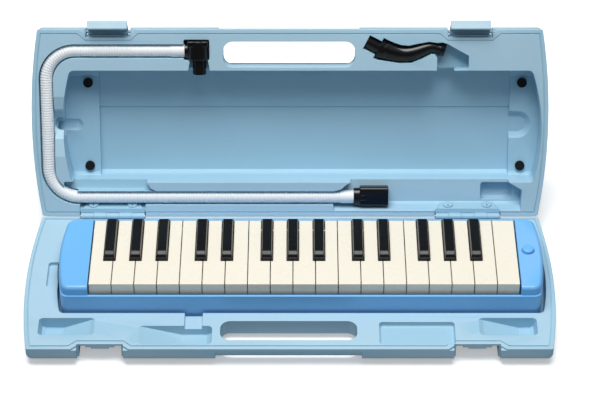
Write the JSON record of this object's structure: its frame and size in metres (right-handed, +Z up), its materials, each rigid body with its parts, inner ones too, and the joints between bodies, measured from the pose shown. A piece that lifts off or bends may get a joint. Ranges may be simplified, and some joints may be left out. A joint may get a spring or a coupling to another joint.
{
  "type": "melodica with carrying case",
  "caption": "Keyed reed wind instrument resting in its open hinged carrying case, with a corrugated blowing hose and a short curved mouthpiece stored in the lid.",
  "frame": {"origin": "centre of the underside of the case base, half way between its front face and the hinge line", "axes": "+X to the player's right along the keyboard, +Y from the carrying slot towards the case hinge, +Z up"},
  "size_m": [0.474, 0.2632, 0.1897],
  "materials": {
    "case_plastic": "satin moulded polyethylene",
    "latch_plastic": "satin moulded",
    "hinge_plate": "pressed steel, painted",
    "steel": "bright",
    "black_rubber": "matt",
    "hose_plastic": "soft corrugated plastic",
    "black_plastic": "polished moulded",
    "body_plastic": "semi-gloss moulded",
    "chamber_plastic": "moulded",
    "gasket_rubber": "matt",
    "brass": "milled",
    "bronze": "rolled spring strip",
    "socket_plastic": "moulded",
    "felt": "pressed felt",
    "white_key": "semi-gloss moulded",
    "black_key": "semi-gloss moulded"
  },
  "bodies": {
    "base": {"case_base": "case_plastic", "hinge_leaves_base": "hinge_plate", "hinge_pins": "steel"},
    "lid": {"case_lid": "case_plastic", "hinge_leaves_lid": "hinge_plate", "hinge_rivets_lid": "hinge_plate", "lid_pads": "black_rubber"},
    "left_latch": {"latch_left": "latch_plastic"},
    "right_latch": {"latch_right": "latch_plastic"},
    "hose_set": {"hose_tube": "hose_plastic", "hose_cuffs": "hose_plastic", "hose_elbow": "black_plastic", "hose_lip_piece": "black_plastic"},
    "mouthpiece": {"playing_mouthpiece": "black_plastic"},
    "instrument": {"body_cover": "body_plastic", "body_tray": "body_plastic", "reed_chamber": "chamber_plastic", "chamber_gaskets": "gasket_rubber", "reed_plates": "brass", "reeds": "bronze", "reed_plate_screws": "steel", "blow_socket": "socket_plastic", "key_springs": "bronze", "key_pivot_rod": "steel", "key_felt": "felt", "body_screws": "steel"},
    "drain_valve": {"drain_button": "body_plastic", "drain_spring": "steel"},
    "note_f3": {"key_f3": "white_key"},
    "note_f_sharp3": {"key_f_sharp3": "black_key"},
    "note_g3": {"key_g3": "white_key"},
    "note_g_sharp3": {"key_g_sharp3": "black_key"},
    "note_a3": {"key_a3": "white_key"},
    "note_a_sharp3": {"key_a_sharp3": "black_key"},
    "note_b3": {"key_b3": "white_key"},
    "note_c4": {"key_c4": "white_key"},
    "note_c_sharp4": {"key_c_sharp4": "black_key"},
    "note_d4": {"key_d4": "white_key"},
    "note_d_sharp4": {"key_d_sharp4": "black_key"},
    "note_e4": {"key_e4": "white_key"},
    "note_f4": {"key_f4": "white_key"},
    "note_f_sharp4": {"key_f_sharp4": "black_key"},
    "note_g4": {"key_g4": "white_key"},
    "note_g_sharp4": {"key_g_sharp4": "black_key"},
    "note_a4": {"key_a4": "white_key"},
    "note_a_sharp4": {"key_a_sharp4": "black_key"},
    "note_b4": {"key_b4": "white_key"},
    "note_c5": {"key_c5": "white_key"},
    "note_c_sharp5": {"key_c_sharp5": "black_key"},
    "note_d5": {"key_d5": "white_key"},
    "note_d_sharp5": {"key_d_sharp5": "black_key"},
    "note_e5": {"key_e5": "white_key"},
    "note_f5": {"key_f5": "white_key"},
    "note_f_sharp5": {"key_f_sharp5": "black_key"},
    "note_g5": {"key_g5": "white_key"},
    "note_g_sharp5": {"key_g_sharp5": "black_key"},
    "note_a5": {"key_a5": "white_key"},
    "note_a_sharp5": {"key_a_sharp5": "black_key"},
    "note_b5": {"key_b5": "white_key"},
    "note_c6": {"key_c6": "white_key"}
  },
  "joints": [
    {"name": "lid_hinge", "type": "hinge", "parent": "base", "child": "lid", "pos_m": [0, 0.088, 0.0205], "axis": [1, 0, 0], "range_deg": [0, 114.76]},
    {"name": "latch_left_hinge", "type": "hinge", "parent": "lid", "child": "left_latch", "pos_m": [-0.1654, 0.16834, 0.17319], "axis": [-1, 0, 0], "range_deg": [-30, 45]},
    {"name": "latch_right_hinge", "type": "hinge", "parent": "lid", "child": "right_latch", "pos_m": [0.1638, 0.16834, 0.17319], "axis": [-1, 0, 0], "range_deg": [-30, 45]},
    {"name": "instrument_lift", "type": "slide", "parent": "base", "child": "instrument", "axis": [0, 0, -1], "range_m": [-0.09, 0]},
    {"name": "hose_take_out", "type": "slide", "parent": "lid", "child": "hose_set", "axis": [0, 0.9081, -0.4188], "range_m": [-0.03, 0]},
    {"name": "mouthpiece_take_out", "type": "slide", "parent": "lid", "child": "mouthpiece", "axis": [0, 0.9081, -0.4188], "range_m": [-0.03, 0]},
    {"name": "drain_press", "type": "slide", "parent": "instrument", "child": "drain_valve", "axis": [0, 0, -1], "range_m": [0, 0.003], "stiffness_N_per_m": 400, "springref_m": -0.004, "deforming": ["drain_spring"]},
    {"name": "key_f3_press", "type": "hinge", "parent": "instrument", "child": "note_f3", "pos_m": [0, 0.046, 0.0395], "axis": [1, 0, 0], "range_deg": [0, 3.2], "stiffness_Nm_per_rad": 0.5, "springref_deg": -3.44, "deforming": ["key_springs"]},
    {"name": "key_f_sharp3_press", "type": "hinge", "parent": "instrument", "child": "note_f_sharp3", "pos_m": [0, 0.046, 0.0395], "axis": [1, 0, 0], "range_deg": [0, 3.2], "stiffness_Nm_per_rad": 0.5, "springref_deg": -3.44},
    {"name": "key_g3_press", "type": "hinge", "parent": "instrument", "child": "note_g3", "pos_m": [0, 0.046, 0.0395], "axis": [1, 0, 0], "range_deg": [0, 3.2], "stiffness_Nm_per_rad": 0.5, "springref_deg": -3.44},
    {"name": "key_g_sharp3_press", "type": "hinge", "parent": "instrument", "child": "note_g_sharp3", "pos_m": [0, 0.046, 0.0395], "axis": [1, 0, 0], "range_deg": [0, 3.2], "stiffness_Nm_per_rad": 0.5, "springref_deg": -3.44},
    {"name": "key_a3_press", "type": "hinge", "parent": "instrument", "child": "note_a3", "pos_m": [0, 0.046, 0.0395], "axis": [1, 0, 0], "range_deg": [0, 3.2], "stiffness_Nm_per_rad": 0.5, "springref_deg": -3.44},
    {"name": "key_a_sharp3_press", "type": "hinge", "parent": "instrument", "child": "note_a_sharp3", "pos_m": [0, 0.046, 0.0395], "axis": [1, 0, 0], "range_deg": [0, 3.2], "stiffness_Nm_per_rad": 0.5, "springref_deg": -3.44},
    {"name": "key_b3_press", "type": "hinge", "parent": "instrument", "child": "note_b3", "pos_m": [0, 0.046, 0.0395], "axis": [1, 0, 0], "range_deg": [0, 3.2], "stiffness_Nm_per_rad": 0.5, "springref_deg": -3.44},
    {"name": "key_c4_press", "type": "hinge", "parent": "instrument", "child": "note_c4", "pos_m": [0, 0.046, 0.0395], "axis": [1, 0, 0], "range_deg": [0, 3.2], "stiffness_Nm_per_rad": 0.5, "springref_deg": -3.44},
    {"name": "key_c_sharp4_press", "type": "hinge", "parent": "instrument", "child": "note_c_sharp4", "pos_m": [0, 0.046, 0.0395], "axis": [1, 0, 0], "range_deg": [0, 3.2], "stiffness_Nm_per_rad": 0.5, "springref_deg": -3.44},
    {"name": "key_d4_press", "type": "hinge", "parent": "instrument", "child": "note_d4", "pos_m": [0, 0.046, 0.0395], "axis": [1, 0, 0], "range_deg": [0, 3.2], "stiffness_Nm_per_rad": 0.5, "springref_deg": -3.44},
    {"name": "key_d_sharp4_press", "type": "hinge", "parent": "instrument", "child": "note_d_sharp4", "pos_m": [0, 0.046, 0.0395], "axis": [1, 0, 0], "range_deg": [0, 3.2], "stiffness_Nm_per_rad": 0.5, "springref_deg": -3.44},
    {"name": "key_e4_press", "type": "hinge", "parent": "instrument", "child": "note_e4", "pos_m": [0, 0.046, 0.0395], "axis": [1, 0, 0], "range_deg": [0, 3.2], "stiffness_Nm_per_rad": 0.5, "springref_deg": -3.44},
    {"name": "key_f4_press", "type": "hinge", "parent": "instrument", "child": "note_f4", "pos_m": [0, 0.046, 0.0395], "axis": [1, 0, 0], "range_deg": [0, 3.2], "stiffness_Nm_per_rad": 0.5, "springref_deg": -3.44},
    {"name": "key_f_sharp4_press", "type": "hinge", "parent": "instrument", "child": "note_f_sharp4", "pos_m": [0, 0.046, 0.0395], "axis": [1, 0, 0], "range_deg": [0, 3.2], "stiffness_Nm_per_rad": 0.5, "springref_deg": -3.44},
    {"name": "key_g4_press", "type": "hinge", "parent": "instrument", "child": "note_g4", "pos_m": [0, 0.046, 0.0395], "axis": [1, 0, 0], "range_deg": [0, 3.2], "stiffness_Nm_per_rad": 0.5, "springref_deg": -3.44},
    {"name": "key_g_sharp4_press", "type": "hinge", "parent": "instrument", "child": "note_g_sharp4", "pos_m": [0, 0.046, 0.0395], "axis": [1, 0, 0], "range_deg": [0, 3.2], "stiffness_Nm_per_rad": 0.5, "springref_deg": -3.44},
    {"name": "key_a4_press", "type": "hinge", "parent": "instrument", "child": "note_a4", "pos_m": [0, 0.046, 0.0395], "axis": [1, 0, 0], "range_deg": [0, 3.2], "stiffness_Nm_per_rad": 0.5, "springref_deg": -3.44},
    {"name": "key_a_sharp4_press", "type": "hinge", "parent": "instrument", "child": "note_a_sharp4", "pos_m": [0, 0.046, 0.0395], "axis": [1, 0, 0], "range_deg": [0, 3.2], "stiffness_Nm_per_rad": 0.5, "springref_deg": -3.44},
    {"name": "key_b4_press", "type": "hinge", "parent": "instrument", "child": "note_b4", "pos_m": [0, 0.046, 0.0395], "axis": [1, 0, 0], "range_deg": [0, 3.2], "stiffness_Nm_per_rad": 0.5, "springref_deg": -3.44},
    {"name": "key_c5_press", "type": "hinge", "parent": "instrument", "child": "note_c5", "pos_m": [0, 0.046, 0.0395], "axis": [1, 0, 0], "range_deg": [0, 3.2], "stiffness_Nm_per_rad": 0.5, "springref_deg": -3.44},
    {"name": "key_c_sharp5_press", "type": "hinge", "parent": "instrument", "child": "note_c_sharp5", "pos_m": [0, 0.046, 0.0395], "axis": [1, 0, 0], "range_deg": [0, 3.2], "stiffness_Nm_per_rad": 0.5, "springref_deg": -3.44},
    {"name": "key_d5_press", "type": "hinge", "parent": "instrument", "child": "note_d5", "pos_m": [0, 0.046, 0.0395], "axis": [1, 0, 0], "range_deg": [0, 3.2], "stiffness_Nm_per_rad": 0.5, "springref_deg": -3.44},
    {"name": "key_d_sharp5_press", "type": "hinge", "parent": "instrument", "child": "note_d_sharp5", "pos_m": [0, 0.046, 0.0395], "axis": [1, 0, 0], "range_deg": [0, 3.2], "stiffness_Nm_per_rad": 0.5, "springref_deg": -3.44},
    {"name": "key_e5_press", "type": "hinge", "parent": "instrument", "child": "note_e5", "pos_m": [0, 0.046, 0.0395], "axis": [1, 0, 0], "range_deg": [0, 3.2], "stiffness_Nm_per_rad": 0.5, "springref_deg": -3.44},
    {"name": "key_f5_press", "type": "hinge", "parent": "instrument", "child": "note_f5", "pos_m": [0, 0.046, 0.0395], "axis": [1, 0, 0], "range_deg": [0, 3.2], "stiffness_Nm_per_rad": 0.5, "springref_deg": -3.44},
    {"name": "key_f_sharp5_press", "type": "hinge", "parent": "instrument", "child": "note_f_sharp5", "pos_m": [0, 0.046, 0.0395], "axis": [1, 0, 0], "range_deg": [0, 3.2], "stiffness_Nm_per_rad": 0.5, "springref_deg": -3.44},
    {"name": "key_g5_press", "type": "hinge", "parent": "instrument", "child": "note_g5", "pos_m": [0, 0.046, 0.0395], "axis": [1, 0, 0], "range_deg": [0, 3.2], "stiffness_Nm_per_rad": 0.5, "springref_deg": -3.44},
    {"name": "key_g_sharp5_press", "type": "hinge", "parent": "instrument", "child": "note_g_sharp5", "pos_m": [0, 0.046, 0.0395], "axis": [1, 0, 0], "range_deg": [0, 3.2], "stiffness_Nm_per_rad": 0.5, "springref_deg": -3.44},
    {"name": "key_a5_press", "type": "hinge", "parent": "instrument", "child": "note_a5", "pos_m": [0, 0.046, 0.0395], "axis": [1, 0, 0], "range_deg": [0, 3.2], "stiffness_Nm_per_rad": 0.5, "springref_deg": -3.44},
    {"name": "key_a_sharp5_press", "type": "hinge", "parent": "instrument", "child": "note_a_sharp5", "pos_m": [0, 0.046, 0.0395], "axis": [1, 0, 0], "range_deg": [0, 3.2], "stiffness_Nm_per_rad": 0.5, "springref_deg": -3.44},
    {"name": "key_b5_press", "type": "hinge", "parent": "instrument", "child": "note_b5", "pos_m": [0, 0.046, 0.0395], "axis": [1, 0, 0], "range_deg": [0, 3.2], "stiffness_Nm_per_rad": 0.5, "springref_deg": -3.44},
    {"name": "key_c6_press", "type": "hinge", "parent": "instrument", "child": "note_c6", "pos_m": [0, 0.046, 0.0395], "axis": [1, 0, 0], "range_deg": [0, 3.2], "stiffness_Nm_per_rad": 0.5, "springref_deg": -3.44}
  ]
}
